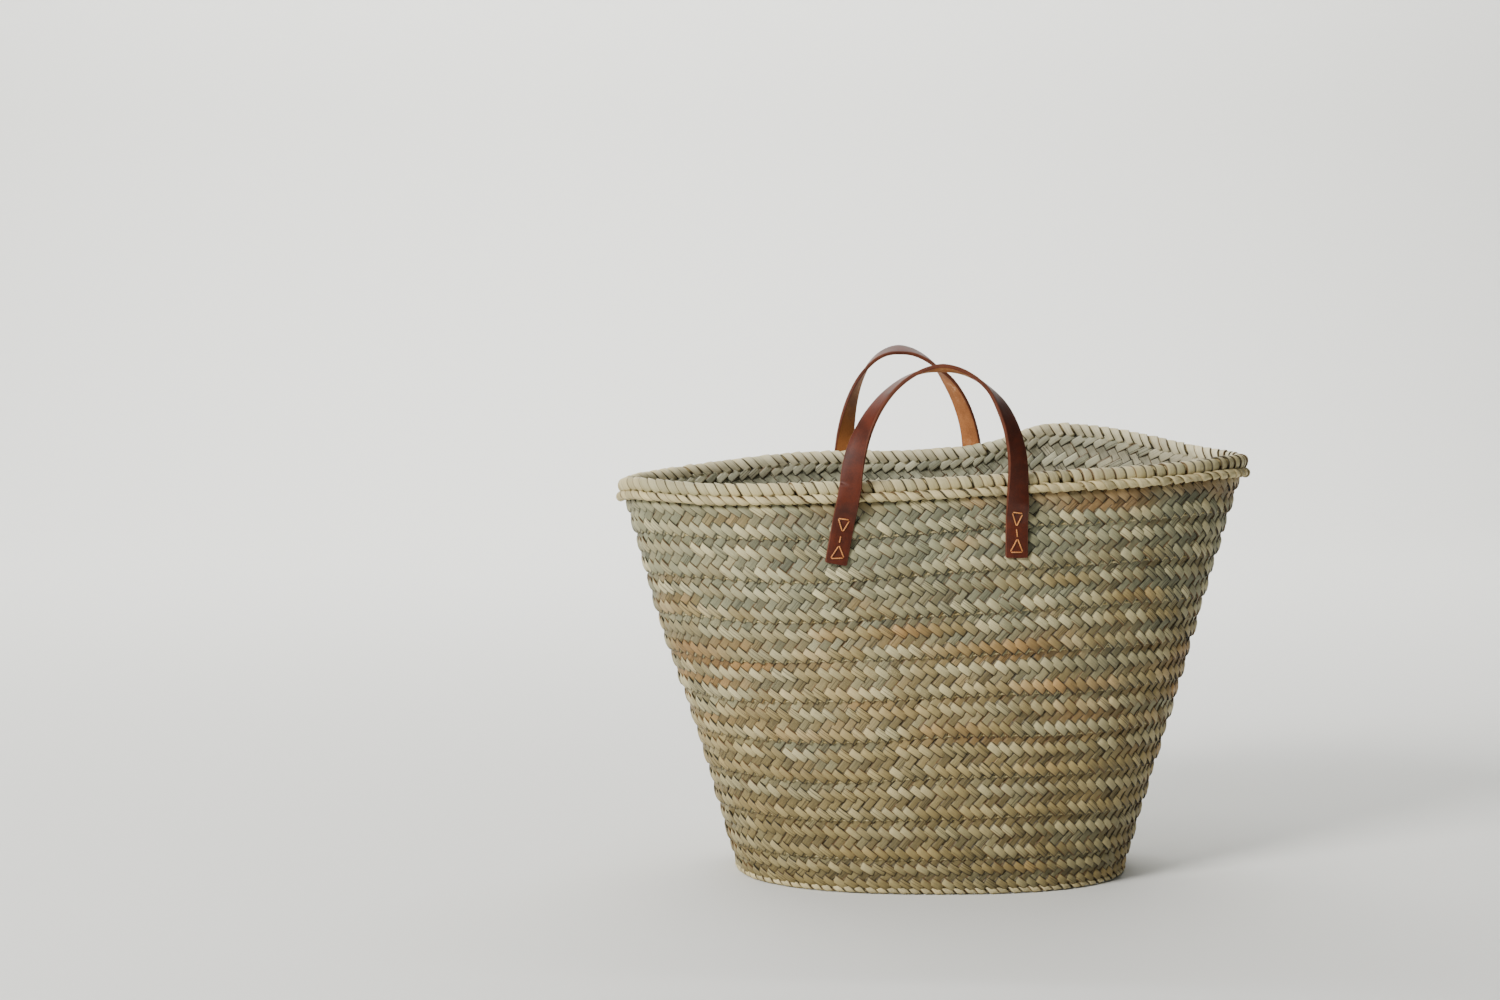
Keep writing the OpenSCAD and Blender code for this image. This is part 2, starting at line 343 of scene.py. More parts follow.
WIDTH_LUCK = 0.10
SHIFT_LUCK = 0.09


def strand_family_tree():
    """All the strands of one slant over a guide. A strand climbs the rows with its travel in
    pitches per row, weaves in and out by the swing, and rides on the relief of the rows."""
    tree, given, end = new_group(
        "strand_family", "GeometryNodeTree", STRAND_INPUTS, ["Strands"], "Geometry")

    strip = add(tree, "GeometryNodeMeshCylinder",
        {"Vertices": LEAF_SIDES, "Side Segments": given["Steps"], "Radius": 1.0, "Depth": 1.0})
    points = add(tree, "GeometryNodePoints", {"Count": given["Strands"]})
    copies = add(tree, "GeometryNodeInstanceOnPoints",
        {"Points": points.outputs[0], "Instance": strip.outputs["Mesh"]})
    index = add(tree, "GeometryNodeInputIndex")
    named = add(tree, "GeometryNodeStoreNamedAttribute",
        {"Geometry": copies.outputs[0], "Name": "strand", "Value": index.outputs[0]},
        data_type="INT", domain="INSTANCE")
    real = add(tree, "GeometryNodeRealizeInstances", {"Geometry": named.outputs[0]})

    def stored(name, data_type="FLOAT_VECTOR"):
        return add(tree, "GeometryNodeInputNamedAttribute", {"Name": name}, data_type=data_type).outputs[0]

    strand = Num(tree, stored("strand", "INT"))
    side, face, reach = split(tree, add(tree, "GeometryNodeInputPosition").outputs[0])
    side = side * (1.42 - 0.42 * side * side)
    even_v = given["Start"] + (reach + 0.5) * (given["End"] - given["Start"])
    centre_v = even_v - given["Crowd"] * (even_v * (2 * math.pi)).op("SINE") / (2 * math.pi)
    float_key = strand * 8 + centre_v.op("FLOOR")

    def chance(offset, key=strand):
        """A steady random number from -1 to 1."""
        node = add(tree, "FunctionNodeRandomValue",
            {"Min": -1.0, "Max": 1.0, "ID": key, "Seed": given["Seed"] + float(offset)},
            data_type="FLOAT")
        return Num(tree, next(s for s in node.outputs if s.enabled))

    inside = centre_v.op("MAXIMUM", 0.0).op("MINIMUM", given["Rows"])
    wave = (inside * math.pi).op("SINE")
    over = (wave * CRISPNESS).clip(-1.0, 1.0)
    below = (-centre_v * EDGE_FADE).clip(0.0, 1.0)
    above = ((centre_v - given["Rows"]) * EDGE_FADE).clip(0.0, 1.0)
    tuck = given["Tuck"] * (UPPER_TUCK * above * above - below * below)
    loose, thick = given["Wander"], given["Thickness"]
    height = (given["Relief"] * wave + given["Swing"] * over + tuck
        + loose * LIFT_LUCK * chance(3, float_key) * thick
        + side * (given["Shingle"] + loose * TILT_LUCK * thick * chance(4, float_key))
        + face * thick * 0.5 * (1 + THICK_LUCK * chance(5, float_key)))

    travel = given["Travel"] * given["Pitch"]
    length = (travel * travel + given["Row Height"] * given["Row Height"]).op("SQRT")
    narrow = 1 - TURN_NARROWING * (below + above)
    half = given["Leaf Width"] * 0.5 * (1 + WIDTH_LUCK * loose * chance(2)) * narrow
    aside = side * half / length
    strand_u = strand + given["Phase"] + loose * SHIFT_LUCK * chance(1)
    u = strand_u + given["Travel"] * centre_v - aside * given["Row Height"] / given["Pitch"]
    v = centre_v + aside * travel / given["Row Height"]
    at = join(tree, u / given["Strands"], v / given["Rows"], 0.0)

    def sample(value):
        return add(tree, "GeometryNodeSampleUVSurface",
            {"Mesh": given["Guide"], "Value": value, "UV Map": stored("guide"), "Sample UV": at},
            data_type="FLOAT_VECTOR").outputs[0]

    spot = sample(add(tree, "GeometryNodeInputPosition").outputs[0])
    push = add(tree, "ShaderNodeVectorMath", {0: sample(stored("outward")), "Scale": height},
        operation="SCALE")
    final = add(tree, "ShaderNodeVectorMath", {0: spot, 1: push.outputs[0]}, operation="ADD")

    facts = {"plait": join(tree, strand_u, centre_v, side),
        "weave": join(tree, given["Travel"], given["Round"], face)}
    geometry = real.outputs[0]
    for name, value in facts.items():
        geometry = add(tree, "GeometryNodeStoreNamedAttribute",
            {"Geometry": geometry, "Name": name, "Value": value},
            data_type="FLOAT_VECTOR", domain="POINT").outputs[0]
    moved = add(tree, "GeometryNodeSetPosition", {"Geometry": geometry, "Position": final.outputs[0]})
    hand_out(tree, end, moved.outputs[0])
    return tree


def finish_tree(tree, end, geometry, material):
    """Every tree ends the same way: smooth, real, and with its material."""
    smooth = add(tree, "GeometryNodeSetShadeSmooth", {"Geometry": geometry})
    real = add(tree, "GeometryNodeRealizeInstances", {"Geometry": smooth.outputs[0]})
    done = add(tree, "GeometryNodeSetMaterial", {"Geometry": real.outputs[0], "Material": material})
    hand_out(tree, end, done.outputs[0])


FAMILY_OWN = {"Guide", "Travel", "Phase", "Swing"}
# The leaves that rise and the leaves that fall: way, phase, seed step, share of width and thickness
FAMILIES = (("Rise", 1.0, 0.0, 0.0, 1.14, 1.0), ("Fall", -1.0, 0.5, 40.0, 1.02, 1.2))


def plait_tree(family):
    """A plaited strip: one family of strands rises to the right and one falls, over two and
    under two, so that the rows lean one way and then the other."""
    own = {name: value for name, value in STRAND_INPUTS.items() if name not in FAMILY_OWN}
    inputs = {"Guide": "Geometry", **own, "Swing": 0.6 * MM, "Rise": 0.8, "Fall": 1.2,
        "Material": "Material"}
    tree, given, end = new_group("plaited_strip", "GeometryNodeTree", inputs, ["Plait"], "Geometry")
    both = add(tree, "GeometryNodeJoinGeometry")
    for word, way, phase, seed, wide, thick in FAMILIES:
        values = {name: given[name] for name in own}
        values.update({"Guide": given["Guide"], "Travel": given[word] * way, "Phase": phase,
            "Swing": given["Swing"] * -way, "Seed": given["Seed"] + seed,
            "Leaf Width": given["Leaf Width"] * wide, "Thickness": given["Thickness"] * thick})
        strands = add(tree, "GeometryNodeGroup", values, node_tree=family)
        tree.links.new(strands.outputs[0], both.inputs[0])
    finish_tree(tree, end, both.outputs[0], given["Material"])
    return tree


def wrap_tree(family):
    """Leaf wound slanting round a roll or a cord, each turn lapping the next."""
    inputs = {**STRAND_INPUTS, "Material": "Material"}
    tree, given, end = new_group("wound_leaf", "GeometryNodeTree", inputs, ["Winding"], "Geometry")
    values = {name: given[name] for name in STRAND_INPUTS}
    node = add(tree, "GeometryNodeGroup", values, node_tree=family)
    finish_tree(tree, end, node.outputs[0], given["Material"])
    return tree


def cord_tree():
    """A two-ply cord twisted along a path of edges."""
    inputs = {"Path": "Geometry", "Radius": 0.6 * MM, "Step": 2 * MM, "Lay": 5 * MM,
        "Ply Depth": 0.2, "Sides": 8, "Material": "Material"}
    tree, given, end = new_group("twisted_cord", "GeometryNodeTree", inputs, ["Cord"], "Geometry")
    curve = add(tree, "GeometryNodeMeshToCurve", {"Mesh": given["Path"]})
    even = add(tree, "GeometryNodeResampleCurve", {"Curve": curve.outputs[0], "Length": given["Step"]},
        mode="LENGTH")
    length = Num(tree, add(tree, "GeometryNodeSplineParameter").outputs["Length"])
    tilt = length / given["Lay"] * (2 * math.pi)
    turned = add(tree, "GeometryNodeSetCurveTilt", {"Curve": even.outputs[0], "Tilt": tilt})
    ring = add(tree, "GeometryNodeCurvePrimitiveCircle", {"Resolution": given["Sides"], "Radius": 1.0},
        mode="RADIUS")
    x, y, _ = split(tree, add(tree, "GeometryNodeInputPosition").outputs[0])
    swell = (1 + given["Ply Depth"] * (x * x - y * y)) * given["Radius"]
    section = add(tree, "GeometryNodeSetPosition",
        {"Geometry": ring.outputs[0], "Position": join(tree, x * swell, y * swell, 0.0)})
    body = add(tree, "GeometryNodeCurveToMesh",
        {"Curve": turned.outputs[0], "Profile Curve": section.outputs[0], "Fill Caps": True})
    finish_tree(tree, end, body.outputs[0], given["Material"])
    return tree


def grow(source, tree, values, name):
    """Runs a node tree on a source object and returns the result as a plain mesh object; the
    source is taken away."""
    modifier = source.modifiers.new("grow", "NODES")
    modifier.node_group = tree
    sockets = {i.name: i.identifier for i in tree.interface.items_tree
        if i.item_type == "SOCKET" and i.in_out == "INPUT"}
    for label, value in values.items():
        modifier[sockets[label]] = value
    view = bpy.context.evaluated_depsgraph_get()
    mesh = bpy.data.meshes.new_from_object(source.evaluated_get(view), depsgraph=view)
    mesh.name = name
    source.modifiers.remove(modifier)
    bpy.data.objects.remove(source)
    return new_object(name, mesh)


# ---- colours and shader groups

def rgb(red, green, blue):
    """A colour given in display values out of 255, as the linear colour that shaders use."""
    def linear(c):
        c = c / 255
        return c / 12.92 if c <= 0.04045 else ((c + 0.055) / 1.055) ** 2.4
    return (linear(red), linear(green), linear(blue), 1.0)


def noise(tree, vector, scale, detail=2.0, rough=0.5):
    node = add(tree, "ShaderNodeTexNoise",
        {"Vector": vector, "Scale": scale, "Detail": detail, "Roughness": rough})
    return Num(tree, node.outputs[0])


def white(tree, vector):
    return Num(tree, add(tree, "ShaderNodeTexWhiteNoise", {"Vector": vector}).outputs["Value"])


def blend_colours(tree, amount, first, second, mode="MIX"):
    node = add(tree, "ShaderNodeMix", data_type="RGBA", blend_type=mode)
    slots = [s for s in node.inputs if s.enabled]
    for slot, value in zip(slots, (amount, first, second)):
        plug(tree, slot, value)
    return next(s for s in node.outputs if s.enabled)


def attribute(tree, name):
    return add(tree, "ShaderNodeAttribute", attribute_name=name).outputs["Vector"]


def leaf_facts_group():
    """What every leaf material needs: random numbers that are steady over a float and over a
    strand, slow patches that run along a row and broad ones that run over many rows."""
    tree, given, end = new_group("leaf_facts", "ShaderNodeTree",
        {"Plait": "Vector", "Weave": "Vector", "Place": "Vector", "Patch Size": 9.0},
        ["Float", "Strand", "Patch", "Broad"])
    strand, row_v, _ = split(tree, given["Plait"])
    travel, round_, _ = split(tree, given["Weave"])
    way = travel.op("GREATER_THAN", 0.0)
    float_row = (row_v * 0.5 + way * 0.5).op("FLOOR")
    number = strand.op("ROUND")
    per_float = white(tree, join(tree, number, float_row + way * 31.0, round_))
    per_strand = white(tree, join(tree, number, way * 7.0, round_ + 0.5))
    x, y, z = split(tree, given["Place"])
    size = given["Patch Size"]
    lane = float_row * 3.7 + way * 1.9 + round_ * 7.3
    patch = noise(tree, join(tree, x * size, y * size, lane), 1.0, 2.0, 0.6)
    broad = noise(tree, join(tree, x * 7.0, y * 7.0, z * 17.0), 1.0, 2.0, 0.55)
    hand_out(tree, end, per_float, per_strand, patch, broad)
    return tree


def leaf_fibre_group():
    """Fine ribs and streaks that run along a leaf, its dry edges, painted shade in the creases along its
    edges and where it goes under the next, and painted shade in the clefts of some split leaves."""
    tree, given, end = new_group("leaf_fibre", "ShaderNodeTree",
        {"Plait": "Vector", "Weave": "Vector", "Ribs": 5.0, "Length": 0.6},
        ["Streak", "Rib", "Edge", "Crease Shade", "Cleft"])
    strand, row_v, side = split(tree, given["Plait"])
    travel, round_, _ = split(tree, given["Weave"])
    number = strand.op("ROUND")
    luck = white(tree, join(tree, number, travel, round_ + 9.0))
    own = strand * 13.7 + travel * 5.3 + round_ * 3.1
    ribs = given["Ribs"]
    along = row_v * given["Length"]
    streak = noise(tree, join(tree, side * ribs, along, own), 1.0, 4.0, 0.66).ramp(0.28, 0.72)
    fine_place = join(tree, side * ribs * 3.2, along * 1.7, own + 40.0)
    fine = noise(tree, fine_place, 1.0, 2.0, 0.6).ramp(0.25, 0.75)
    rib = (side * ribs * 2.4 + streak * 2.5).op("SINE") * 0.5 + 0.5
    edge = (side * side).ramp(0.45, 1.0) * luck.ramp(0.35, 0.95)
    # Painted shade: the creases along a leaf's edges and near both ends of each float, where it goes under
    # the next, are painted darker.
    ends = ((row_v - row_v.op("FLOOR") - 0.5).op("ABSOLUTE") * 2.0).ramp(0.84, 0.98)
    crease = (side * side).ramp(*CREASE_SHADE).op("MAXIMUM", ends * 0.8)
    # Painted shade: a dark line along some split leaves, standing for the shade inside the cleft.
    off_middle = (side - (luck * 1.2 - 0.6)).op("ABSOLUTE")
    off_second = (side + (luck * 1.1 - 0.2)).op("ABSOLUTE")
    split_leaf = white(tree, join(tree, number, travel + 3.0, round_ + 4.0)).ramp(0.72, 0.76)
    lines = 1.0 - off_middle.op("MINIMUM", off_second).ramp(0.02, 0.11)
    hand_out(tree, end, streak * 0.6 + fine * 0.4, rib * 0.45 + fine * 0.55, edge, crease,
        lines * split_leaf)
    return tree


def leather_group():
    """Smooth hide: fine pores, soft creases along the strap, darker handled edges."""
    tree, given, end = new_group("hide", "ShaderNodeTree",
        {"Place": "Vector", "Strap": "Vector", "Pores": 1400.0},
        ["Tone", "Height", "Rim"])
    place = given["Place"]
    along, across, _ = split(tree, given["Strap"])
    pores = add(tree, "ShaderNodeTexVoronoi", {"Vector": place, "Scale": given["Pores"]})
    pore = Num(tree, pores.outputs["Distance"])
    cloud = noise(tree, place, 70.0, 4.0, 0.6)
    crease = noise(tree, join(tree, along * 90.0, across * 2.2, 0.0), 1.0, 3.0, 0.55)
    grain = noise(tree, place, 900.0, 3.0, 0.6)
    hand_out(tree, end, cloud * 0.65 + grain * 0.35, pore * 0.35 + grain * 0.5 + crease * 0.6,
        (across * across).ramp(0.6, 1.0))
    return tree


def group_facts(tree, group, inputs):
    """Places a group and gives its outputs as numbers."""
    node = add(tree, "ShaderNodeGroup", inputs, node_tree=GROUPS[group])
    return [Num(tree, slot) for slot in node.outputs]


def new_material(name):
    material = bpy.data.materials.new(name)
    material.use_nodes = True
    tree = material.node_tree
    surface = tree.nodes["Principled BSDF"]
    place = add(tree, "ShaderNodeTexCoord").outputs["Object"]
    return material, tree, surface, place


def paint_layers(tree, colour, *layers):
    """Lays tints over a colour, each by its own amount."""
    for amount, tint in layers:
        colour = blend_colours(tree, amount, colour, tint)
    return colour


def finish_surface(tree, surface, colour, rough, height, relief, strength=1.0, specular=0.5):
    shape = add(tree, "ShaderNodeBump", {"Height": height, "Distance": relief, "Strength": strength})
    for slot, value in (("Base Color", colour), ("Roughness", rough), ("Specular IOR Level", specular),
            ("Normal", shape.outputs[0])):
        plug(tree, surface.inputs[slot], value)


CREASE_SHADE = (0.52, 0.86)  # where painted crease shade darkens a leaf's edge, by the square of the way across
GROUPS = {"facts": leaf_facts_group(), "fibre": leaf_fibre_group(), "hide": leather_group()}
GREEN_GREY = rgb(156, 156, 124)
PALE_STRAW = rgb(198, 185, 140)
STRAW = rgb(172, 152, 100)
TAN = rgb(164, 116, 62)
OLIVE = rgb(126, 110, 62)
DARK_OLIVE = rgb(70, 66, 36)
CREAM = rgb(208, 192, 144)
INSIDE = rgb(196, 196, 172)
RIM_TOP_LIGHT = rgb(222, 216, 188)


def zone(value, centre, width):
    """1 at the centre and 0 beyond the width on either side."""
    return 1.0 - (value - centre).op("ABSOLUTE").ramp(0.0, width)


def leaf_material(kind):
    """Dried palm leaf. kind is body, base, rim or cord."""
    material, tree, surface, place = new_material(kind + "_leaf")
    plait, weave = attribute(tree, "plait"), attribute(tree, "weave")
    per_float, per_strand, patch, broad = group_facts(
        tree, "facts", {"Plait": plait, "Weave": weave, "Place": place})
    streak, rib, edge, crease, cleft = group_facts(
        tree, "fibre", {"Plait": plait, "Weave": weave, "Ribs": 4.2 if kind == "body" else 3.4})
    x, _, z = split(tree, place)
    _, row_v, side = split(tree, plait)
    travel, _, face = split(tree, weave)
    mixed = patch * 0.75 + per_float * 0.16 + broad * 0.35 + per_strand * 0.06
    value = 0.33 + 0.36 * streak + 0.46 * per_float - 0.18 * per_strand
    if kind in ("body", "base"):
        falls = travel.op("LESS_THAN", 0.0)
        green = (mixed + z.ramp(0.16, 0.29) * 0.20).ramp(0.60, 0.86)
        pale = (per_float * 0.30 + patch * 0.90 + falls * 0.16).ramp(0.64, 0.98)
        under_rim = z.ramp(0.283, 0.315) * (0.10 + 0.14 * x.ramp(0.03, 0.16))
        warm = ((1.0 - patch) * 0.9 + broad * 0.35 + zone(z, 0.165, 0.075) * 0.13 + per_float * 0.10
            + under_rim).ramp(0.74, 0.98)
        low = 1.0 - z.ramp(0.02, 0.15)
        dark = (per_float * 0.55 + broad * 0.5 + per_strand * 0.2).ramp(0.86, 1.02)
        inner = 1.0 - face.ramp(-0.35, 0.1)
        colour = paint_layers(tree, STRAW, (green, GREEN_GREY), (pale * 0.75, PALE_STRAW),
            (warm * 0.62, TAN),
            (low * (0.30 + 0.35 * (1.0 - patch)), OLIVE), (dark * 0.55, DARK_OLIVE),
            (inner * 0.65, INSIDE))
        # Painted light and shade: falling rows are painted lighter, each float is painted lighter towards
        # one end and darker towards the other as light falls on its bulge, and the creases and clefts are
        # painted dark as shade.
        up = row_v - row_v.op("FLOOR")
        painted_float_shade = falls * (0.80 + 0.32 * up) + (1.0 - falls) * (1.02 - 0.24 * up)
        value = (value + 0.16 * falls) * painted_float_shade * (1.0 - 0.95 * crease) * (1.0 - 0.75 * cleft)
        value = value * (1.0 + 0.12 * inner)
    else:
        # Painted shade in the creases along each leaf's edges; on the welt it is painted weaker on the
        # right-hand part.
        edge_crease_shade = (side * side).ramp(*CREASE_SHADE)
        second = GREEN_GREY
        if kind == "cord":
            second = PALE_STRAW
            edge_crease_shade = edge_crease_shade * (1.0 - 0.8 * x.ramp(0.02, 0.07) * z.ramp(0.2, 0.25))
        colour = paint_layers(tree, CREAM, (mixed.ramp(0.50, 1.05), second),
            (per_float.ramp(0.70, 1.0) * 0.4, STRAW))
        if kind == "rim":
            # Painted light: the top and inner side of the rim's roll are painted paler, where the light
            # falls on it.
            colour = blend_colours(tree, row_v.ramp(0.45, 0.75) * 0.6, colour, RIM_TOP_LIGHT)
        value = (value + 0.26) * (1.0 - 0.90 * edge_crease_shade)
    shade = join(tree, value, value, value * (1.0 - 0.04 * per_strand))
    colour = blend_colours(tree, 1.0, colour, shade, "MULTIPLY")
    finish_surface(tree, surface, blend_colours(tree, edge * 0.35, colour, TAN),
        0.50 + 0.22 * streak - 0.05 * per_float, rib + streak * 0.8, 0.16 * MM, 0.7, 0.42)
    return material


def leather_material(name, base, deep, worn, rough, relief, scuffs=None):
    """base is the middle colour, deep the darker clouds, worn the colour of rubbed edges and
    scuffs that of the rough pale marks on a flesh side."""
    material, tree, surface, place = new_material(name)
    tone, height, edge = group_facts(tree, "hide", {"Place": place, "Strap": attribute(tree, "strap")})
    colour = paint_layers(tree, deep, (tone.ramp(0.35, 0.65), base), (edge * 0.55, worn))
    if scuffs:
        nap = noise(tree, place, 140.0, 5.0, 0.72)
        patches = noise(tree, place, 26.0, 1.0, 0.5)
        colour = blend_colours(tree, nap.ramp(0.54, 0.66) * patches.ramp(0.46, 0.62) * 0.75, colour, scuffs)
    finish_surface(tree, surface, colour, rough + 0.16 * tone - 0.06, height, relief, 0.8, 0.30)
    return material


def thread_material():
    material, tree, surface, place = new_material("waxed_thread")
    fuzz = noise(tree, place, 2600.0, 3.0, 0.6)
    soil = noise(tree, place, 160.0, 2.0, 0.5)
    colour = paint_layers(tree, rgb(216, 140, 74), (soil.ramp(0.35, 0.7), rgb(184, 106, 50)),
        (fuzz * 0.3, rgb(240, 190, 130)))
    finish_surface(tree, surface, colour, 0.42 + 0.2 * fuzz, fuzz, 0.08 * MM)
    return material


def fibre_cord_material():
    material, tree, surface, place = new_material("palm_cord")
    strands = noise(tree, place, 420.0, 4.0, 0.65)
    soil = noise(tree, place, 40.0, 2.0, 0.5)
    colour = paint_layers(tree, STRAW, (soil.ramp(0.3, 0.7), PALE_STRAW),
        (strands.ramp(0.45, 0.75) * 0.5, OLIVE))
    finish_surface(tree, surface, colour, 0.62 + 0.2 * strands, strands, 0.15 * MM)
    return material


# ---- camera, floor and light

CAMERA_AT = (-0.1451, -1.9524, 0.4865)
CAMERA_DIP = 5.57  # degrees below level
LENS = 58.99
SENSOR = 36.0


def make_camera():
    data = bpy.data.cameras.new("camera")
    data.lens = LENS
    data.sensor_width = SENSOR
    camera = bpy.data.objects.new("camera", data)
    camera.location = CAMERA_AT
    camera.rotation_euler = (math.radians(90 - CAMERA_DIP), 0, 0)
    bpy.context.collection.objects.link(camera)
    bpy.context.scene.camera = camera


def area_light(name, place, target, size, power, colour):
    data = bpy.data.lights.new(name, "AREA")
    data.shape = "RECTANGLE"
    data.size, data.size_y = size
    data.energy = power
    data.color = colour
    light = bpy.data.objects.new(name, data)
    light.location = place
    light.rotation_euler = (Vector(target) - Vector(place)).to_track_quat("-Z", "Y").to_euler()
    bpy.context.collection.objects.link(light)


FLOOR_FRONT = -20.0
FLOOR_SIDE = 16.0
FLOOR_BACK = 2.4
FLOOR_BEND = 0.8
BEND_STEPS = 16
BACK_WALL_TOP = 4.0


def make_studio():
    """A pale floor that bends up into the wall behind, and big soft lights."""
    profile = [(FLOOR_FRONT, 0.0), (FLOOR_BACK, 0.0)]
    for step in range(1, BEND_STEPS + 1):
        angle = math.pi / 2 * step / BEND_STEPS
        profile.append((FLOOR_BACK + FLOOR_BEND * math.sin(angle), FLOOR_BEND * (1 - math.cos(angle))))
    profile.append((FLOOR_BACK + FLOOR_BEND, BACK_WALL_TOP))
    points = [(x, y, z) for y, z in profile for x in (-FLOOR_SIDE, FLOOR_SIDE)]
    quads = [(2 * i, 2 * i + 1, 2 * i + 3, 2 * i + 2) for i in range(len(profile) - 1)]
    mesh = mesh_from("floor", points, quads)
    mesh.shade_smooth()
    floor = new_object("floor", mesh)
    material = bpy.data.materials.new("floor_paint")
    material.use_nodes = True
    surface = material.node_tree.nodes["Principled BSDF"]
    surface.inputs["Base Color"].default_value = rgb(226, 226, 221)
    surface.inputs["Roughness"].default_value = 0.9
    surface.inputs["Specular IOR Level"].default_value = 0.1
    mesh.materials.append(material)
    world = bpy.data.worlds.new("room")
    world.use_nodes = True
    sky = world.node_tree.nodes["Background"]
    sky.inputs["Color"].default_value = (0.95, 0.98, 1.0, 1.0)
    sky.inputs["Strength"].default_value = 0.14
    bpy.context.scene.world = world
    area_light("window", (-2.2, -2.05, 2.1), (0.0, 0.0, 0.15), (1.0, 1.0), 172.0, (1.0, 0.985, 0.96))
    area_light("overhead", (-0.3, 0.2, 2.6), (0.0, 0.1, 0.2), (1.8, 1.2), 24.0, (1.0, 1.0, 1.0))
    area_light("backdrop", (-0.4, 1.6, 2.6), (-0.3, 3.2, 0.8), (4.0, 0.6), 185.0, (1.0, 1.0, 1.0))


# ---- the palm pieces

make_camera()
make_studio()
LEAF = {kind: leaf_material(kind) for kind in ("body", "base", "rim", "cord")}
PALM_CORD = fibre_cord_material()
THREAD = thread_material()
GRAIN = leather_material("strap_grain", rgb(86, 31, 7), rgb(60, 20, 5), rgb(44, 16, 4),
    0.46, 0.12 * MM)
FLESH = leather_material("strap_flesh", rgb(166, 105, 58), rgb(130, 79, 40), rgb(112, 66, 34),
    0.68, 0.22 * MM, scuffs=rgb(206, 168, 128))
EDGE = leather_material("strap_edge", rgb(128, 68, 42), rgb(94, 46, 27), rgb(70, 32, 18),
    0.60, 0.18 * MM)
BACKING = leather_material("backing_hide", rgb(84, 36, 18), rgb(58, 24, 12), rgb(50, 20, 9),
    0.55, 0.16 * MM)

FAMILY = strand_family_tree()
PLAIT = plait_tree(FAMILY)
WINDING = wrap_tree(FAMILY)
CORD = cord_tree()


def finish_piece(obj, name, nodes, body="basket"):
    obj.name = name
    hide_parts(*nodes)
    if body:
        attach(obj, body)


def grow_piece(name, node, source, tree, values):
    finish_piece(grow(source, tree, values, name), name, [node])


LOWER_PUSH = 0.75 * MM  # each round's lower edge laps over the round below
UPPER_PUSH = -0.55 * MM


FOOT_PULL = 0.9 * MM  # the first round draws in over the edge cord


def body_guide(k):
    low, high = joint_share(k - 1), joint_share(k)
    middle = wall_ring((low + high) / 2)

    def place(u, v):
        phi = even_turns(u, middle)
        s = low + (high - low) * v
        out = wall_axes(phi, s)[2]
        push = LOWER_PUSH + (UPPER_PUSH - LOWER_PUSH) * v
        if k == 1:
            push = push - FOOT_PULL * np.clip(1 - v * 2, 0, 1)
        return wall(phi, s) + out * push[..., None], out

    height = np.linalg.norm(wall(4.7, high) - wall(4.7, low))
    return guide_object(f"guide_{k}", place, v_steps=(-0.15, 1.15, 17)), ring_length(middle), height


PITCH_GROWTH = 0.1 * MM  # each round's leaves stand a little wider than the last


def make_body():
    for k in range(1, ROUNDS + 1):
        guide, length, height = body_guide(k)
        pitch = LEAF_PITCH + PITCH_GROWTH * k
        grow_piece(f"woven_round_{k:02d}", f"body_plait_round_{k:02d}", guide, PLAIT, {
            "Strands": round(length / pitch), "Steps": 22, "Rows": float(ROWS), "Crowd": 0.6,
            "Start": -0.2, "End": ROWS + 0.2, "Pitch": pitch, "Row Height": height / ROWS,
            "Leaf Width": 0.73 * pitch, "Thickness": 1.3 * MM, "Swing": 0.72 * MM, "Relief": 1.0 * MM,
            "Tuck": 1.5 * MM, "Shingle": 0.30 * MM, "Wander": 1.0, "Round": float(k), "Seed": 100 + 7 * k,
            "Rise": 0.8, "Fall": 1.2, "Material": LEAF["body"],
        })


def make_wound(name, node, material, place, length, turn, pitch, values):
    """Leaf wound round the tube or roll that place(u, v) gives; turn is the length of one turn."""
    guide = guide_object("guide_" + name, place, columns=260, v_steps=(-0.30, 1.30, 33))
    settings = {"Strands": round(length / pitch), "Steps": 14, "Rows": 1.0, "Start": 0.0, "End": 1.0,
        "Pitch": pitch, "Row Height": turn, "Round": 20.0, "Material": material}
    grow_piece(name, node, guide, WINDING, {**settings, **values})


def tube_place(s, out_by, up_by, radius):
    """Points round a tube beside the wall, from its inner side over the top and back."""
    def place(u, t):
        phi = even_turns(u, wall_ring(s))
        _, rise, out = wall_axes(phi, s)
        angle = np.radians(180 - 360 * t)
        c, d = np.cos(angle)[..., None], np.sin(angle)[..., None]
        way = unit(c * out * radius + d * rise * radius)
        return wall(phi, s) + out * (out_by + radius * c) + rise * (up_by + radius * d), way
    return place


# Section of the wrapped rim, out from and up from the wall's top: over the roll from the outside,
# then down the inside, where it lies flat against the wall
RIM_SECTION = [(2.4, -2.0), (3.8, 1.6), (3.5, 5.5), (1.4, 7.9), (-1.2, 8.3), (-3.3, 6.8), (-3.9, 4.0),
    (-3.3, 0.9), (-2.3, -2.2)]
RIM_PITCH = 8.35 * MM
RIM_CURL = 0.9  # the turns slant less outside than inside, in pitches
RIM_TURN = 25 * MM  # length of one turn round the roll
RIM_SINK = 0.35 * MM
WELT_TURN = 18 * MM
WELT_R = 2.7 * MM
WELT_OUT = 4.7 * MM
WELT_UP = -4.3 * MM


